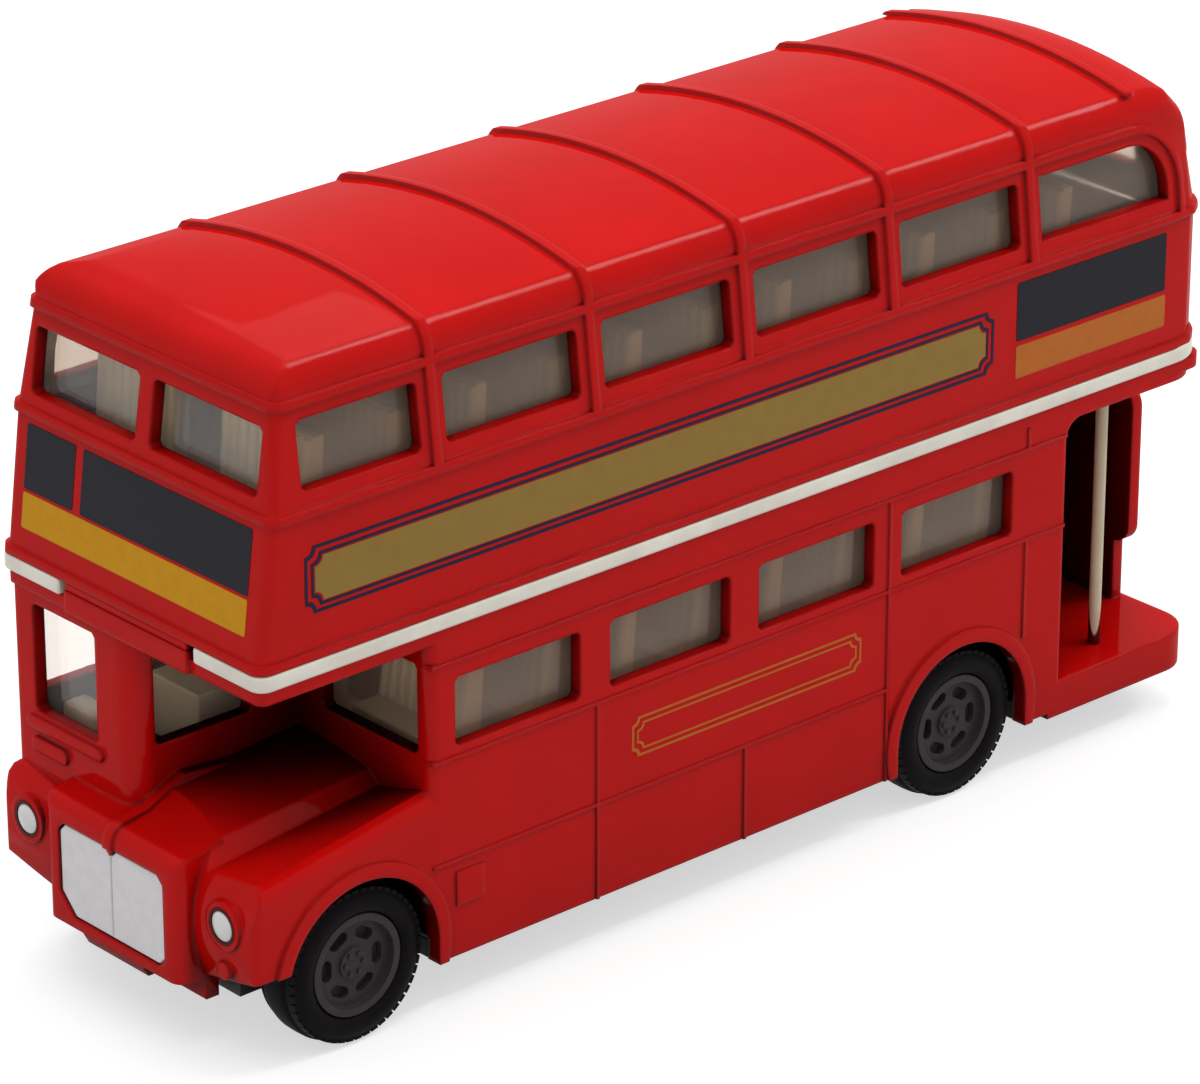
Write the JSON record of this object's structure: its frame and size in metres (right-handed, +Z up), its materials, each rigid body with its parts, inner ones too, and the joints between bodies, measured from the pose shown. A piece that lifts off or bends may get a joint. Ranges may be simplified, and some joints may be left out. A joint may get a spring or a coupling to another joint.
{
  "type": "toy double-decker bus",
  "caption": "Die-cast toy half-cab double-decker bus, gloss red with a cream waist band, open rear platform with a grab pole, clear windows, seats and free-rolling wheels.",
  "frame": {"origin": "centre of the toy's box, on the ground under the wheels", "axes": "+X forward, +Y to the kerb side that has the open platform, +Z up"},
  "size_m": [0.12, 0.0366, 0.0673],
  "materials": {
    "body_red": "gloss enamel over die-cast metal",
    "band_cream": "moulded, semi-gloss",
    "glazing_smoke": "clear moulded plastic with a grey tint",
    "seat_beige": "moulded, satin",
    "grille_silver": "silver paint",
    "lamp_white": "silver-white paint, gloss",
    "pole_cream": "moulded, semi-gloss",
    "base_black": "moulded, fine spark texture",
    "screw_steel": "zinc plated",
    "axle_steel": "drawn wire",
    "hub_grey": "moulded, satin",
    "tyre_black": "soft moulded rubber"
  },
  "bodies": {
    "bus_body": {"upper_shell": "body_red", "lower_shell": "body_red", "waist_band": "band_cream", "upper_glazing": "glazing_smoke", "lower_glazing": "glazing_smoke", "cab_glazing": "glazing_smoke", "upper_seats": "seat_beige", "lower_seats": "seat_beige", "cab_seat": "seat_beige", "radiator_grille": "grille_silver", "headlamp_left": "lamp_white", "headlamp_right": "lamp_white", "platform_pole": "pole_cream", "base_plate": "base_black", "base_screw_front": "screw_steel", "base_screw_rear": "screw_steel"},
    "front_wheels": {"front_axle": "axle_steel", "front_left_hub": "hub_grey", "front_right_hub": "hub_grey", "front_left_tyre": "tyre_black", "front_right_tyre": "tyre_black"},
    "rear_wheels": {"rear_axle": "axle_steel", "rear_left_hub": "hub_grey", "rear_right_hub": "hub_grey", "rear_left_tyre": "tyre_black", "rear_right_tyre": "tyre_black"}
  },
  "joints": [
    {"name": "front_axle_spin", "type": "hinge", "parent": "bus_body", "child": "front_wheels", "pos_m": [0.0461, 0, 0.00765], "axis": [0, 1, 0], "continuous": true},
    {"name": "rear_axle_spin", "type": "hinge", "parent": "bus_body", "child": "rear_wheels", "pos_m": [-0.0272, 0, 0.00765], "axis": [0, 1, 0], "continuous": true}
  ]
}
